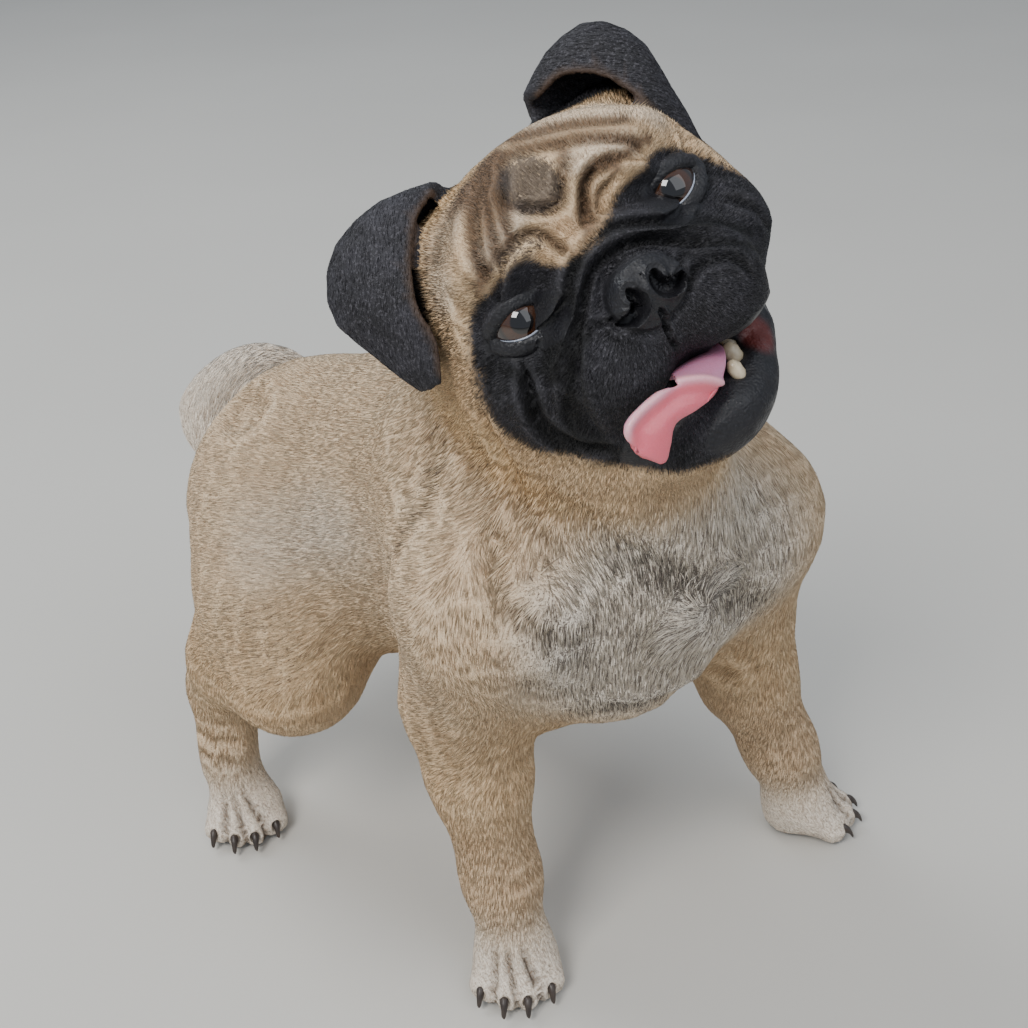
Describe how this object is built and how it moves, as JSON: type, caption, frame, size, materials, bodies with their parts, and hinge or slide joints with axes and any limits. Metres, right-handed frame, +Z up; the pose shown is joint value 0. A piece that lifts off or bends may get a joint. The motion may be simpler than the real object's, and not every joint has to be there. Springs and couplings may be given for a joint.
{
  "type": "pug",
  "caption": "Life-size still model of a standing pug with tilted head, button ears, panting tongue and curled tail.",
  "frame": {"origin": "on the floor, under the middle of the outline box", "axes": "+Z up, -Y the way the dog's body faces, +X to the dog's left"},
  "size_m": [0.2756, 0.371, 0.4371],
  "materials": {
    "coat": "short fawn hair, silver-grey on the chest",
    "face": "short black hair of the mask, fawn at the forehead, wet nose leather",
    "ear": "short velvety black hair",
    "pale_coat": "short cream hair",
    "eye": "wet, clear over a brown iris",
    "tongue": "wet, soft, slightly rough",
    "tooth": "polished ivory",
    "claw": "dark horn"
  },
  "bodies": {
    "root": {"chest": "coat", "claw_1_fore_left": "claw", "claw_1_fore_right": "claw", "claw_1_hind_left": "claw", "claw_1_hind_right": "claw", "claw_2_fore_left": "claw", "claw_2_fore_right": "claw", "claw_2_hind_left": "claw", "claw_2_hind_right": "claw", "claw_3_fore_left": "claw", "claw_3_fore_right": "claw", "claw_3_hind_left": "claw", "claw_3_hind_right": "claw", "claw_4_fore_left": "claw", "claw_4_fore_right": "claw", "claw_4_hind_left": "claw", "claw_4_hind_right": "claw", "ear_left": "ear", "ear_right": "ear", "eye_left": "eye", "eye_right": "eye", "face": "face", "forearm_fore_left": "coat", "forearm_fore_right": "coat", "loin": "coat", "neck": "coat", "paw_fore_left": "pale_coat", "paw_fore_right": "pale_coat", "paw_hind_left": "pale_coat", "paw_hind_right": "pale_coat", "shank_hind_left": "coat", "shank_hind_right": "coat", "skull": "coat", "tail": "pale_coat", "thigh_hind_left": "coat", "thigh_hind_right": "coat", "tongue": "tongue", "tooth_1": "tooth", "tooth_2": "tooth", "tooth_3": "tooth", "upper_arm_fore_left": "coat", "upper_arm_fore_right": "coat"}
  },
  "joints": []
}
